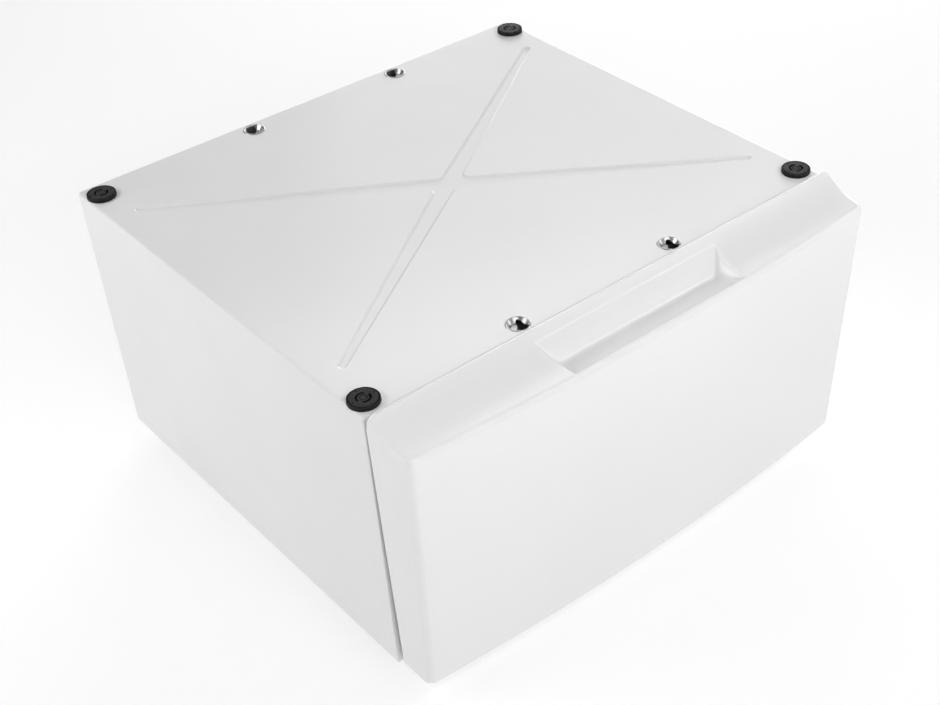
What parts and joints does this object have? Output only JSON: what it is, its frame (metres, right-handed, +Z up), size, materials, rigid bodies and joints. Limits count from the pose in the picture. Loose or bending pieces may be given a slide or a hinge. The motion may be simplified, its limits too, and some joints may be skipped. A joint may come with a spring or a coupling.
{
  "type": "laundry pedestal drawer",
  "caption": "Steel pedestal drawer for a front-loading washer: bowed white front with a scooped top edge and finger pocket, crossed bead, rubber pads and tie-down cups on top, levelling feet.",
  "frame": {"origin": "on the floor, under the middle of the whole object's box with the drawer shut", "axes": "+Z up; the drawer opens toward -Y; +X to the right for someone facing the drawer"},
  "size_m": [0.688, 0.6906, 0.3927],
  "materials": {
    "white_paint": "gloss",
    "white_front": "gloss",
    "grey_paint": "satin",
    "bare_steel": "satin",
    "plated_steel": "bright",
    "bright_cup": "polished",
    "cage_plastic": "matte",
    "black_rubber": "matte"
  },
  "bodies": {
    "cabinet": {"cabinet_shell": "white_paint", "back_panel": "bare_steel", "front_top_rail": "bare_steel", "front_bottom_rail": "white_paint", "rear_bottom_rail": "bare_steel", "front_left_post": "bare_steel", "front_right_post": "bare_steel", "rear_left_post": "bare_steel", "rear_right_post": "bare_steel", "left_slide_rail": "bare_steel", "right_slide_rail": "bare_steel", "foot_plates": "bare_steel", "lock_nuts": "plated_steel", "pad_front_left": "black_rubber", "pad_front_right": "black_rubber", "pad_rear_left": "black_rubber", "pad_rear_right": "black_rubber", "cup_front_left": "bright_cup", "cup_front_right": "bright_cup", "cup_rear_left": "bright_cup", "cup_rear_right": "bright_cup", "left_slide_outer": "plated_steel", "right_slide_outer": "plated_steel", "slide_rivets": "plated_steel", "back_panel_screws": "plated_steel"},
    "drawer": {"drawer_front_panel": "white_front", "front_liner": "bare_steel", "drawer_tray": "grey_paint", "drawer_left_side": "grey_paint", "drawer_right_side": "grey_paint", "left_slide_inner": "plated_steel", "right_slide_inner": "plated_steel", "drawer_rivets": "plated_steel", "front_screws": "plated_steel", "liner_screws": "plated_steel", "front_bumpers": "black_rubber"},
    "left_slide_middle": {"left_slide_middle": "plated_steel"},
    "left_outer_cage": {"left_outer_cage": "cage_plastic", "left_outer_balls": "plated_steel"},
    "left_inner_cage": {"left_inner_cage": "cage_plastic", "left_inner_balls": "plated_steel"},
    "right_slide_middle": {"right_slide_middle": "plated_steel"},
    "right_outer_cage": {"right_outer_cage": "cage_plastic", "right_outer_balls": "plated_steel"},
    "right_inner_cage": {"right_inner_cage": "cage_plastic", "right_inner_balls": "plated_steel"},
    "foot_front_left": {"foot_front_left": "bare_steel", "sole_front_left": "black_rubber"},
    "foot_front_right": {"foot_front_right": "bare_steel", "sole_front_right": "black_rubber"},
    "foot_rear_left": {"foot_rear_left": "bare_steel", "sole_rear_left": "black_rubber"},
    "foot_rear_right": {"foot_rear_right": "bare_steel", "sole_rear_right": "black_rubber"}
  },
  "joints": [
    {"name": "drawer_slide", "type": "slide", "parent": "cabinet", "child": "drawer", "axis": [0, -1, 0], "range_m": [0, 0.5]},
    {"name": "left_slide_middle_travel", "type": "slide", "parent": "cabinet", "child": "left_slide_middle", "axis": [0, -1, 0], "range_m": [0, 0.25]},
    {"name": "left_outer_cage_travel", "type": "slide", "parent": "cabinet", "child": "left_outer_cage", "axis": [0, -1, 0], "range_m": [0, 0.125]},
    {"name": "left_inner_cage_travel", "type": "slide", "parent": "cabinet", "child": "left_inner_cage", "axis": [0, -1, 0], "range_m": [0, 0.375]},
    {"name": "right_slide_middle_travel", "type": "slide", "parent": "cabinet", "child": "right_slide_middle", "axis": [0, -1, 0], "range_m": [0, 0.25]},
    {"name": "right_outer_cage_travel", "type": "slide", "parent": "cabinet", "child": "right_outer_cage", "axis": [0, -1, 0], "range_m": [0, 0.125]},
    {"name": "right_inner_cage_travel", "type": "slide", "parent": "cabinet", "child": "right_inner_cage", "axis": [0, -1, 0], "range_m": [0, 0.375]},
    {"name": "foot_front_left_height", "type": "slide", "parent": "cabinet", "child": "foot_front_left", "axis": [0, 0, -1], "range_m": [0, 0.02]},
    {"name": "foot_front_right_height", "type": "slide", "parent": "cabinet", "child": "foot_front_right", "axis": [0, 0, -1], "range_m": [0, 0.02]},
    {"name": "foot_rear_left_height", "type": "slide", "parent": "cabinet", "child": "foot_rear_left", "axis": [0, 0, -1], "range_m": [0, 0.02]},
    {"name": "foot_rear_right_height", "type": "slide", "parent": "cabinet", "child": "foot_rear_right", "axis": [0, 0, -1], "range_m": [0, 0.02]}
  ],
  "couplings": [
    {"joint": "left_slide_middle_travel", "follows": "drawer_slide", "ratio": 0.5},
    {"joint": "left_outer_cage_travel", "follows": "drawer_slide", "ratio": 0.25},
    {"joint": "left_inner_cage_travel", "follows": "drawer_slide", "ratio": 0.75},
    {"joint": "right_slide_middle_travel", "follows": "drawer_slide", "ratio": 0.5},
    {"joint": "right_outer_cage_travel", "follows": "drawer_slide", "ratio": 0.25},
    {"joint": "right_inner_cage_travel", "follows": "drawer_slide", "ratio": 0.75}
  ]
}
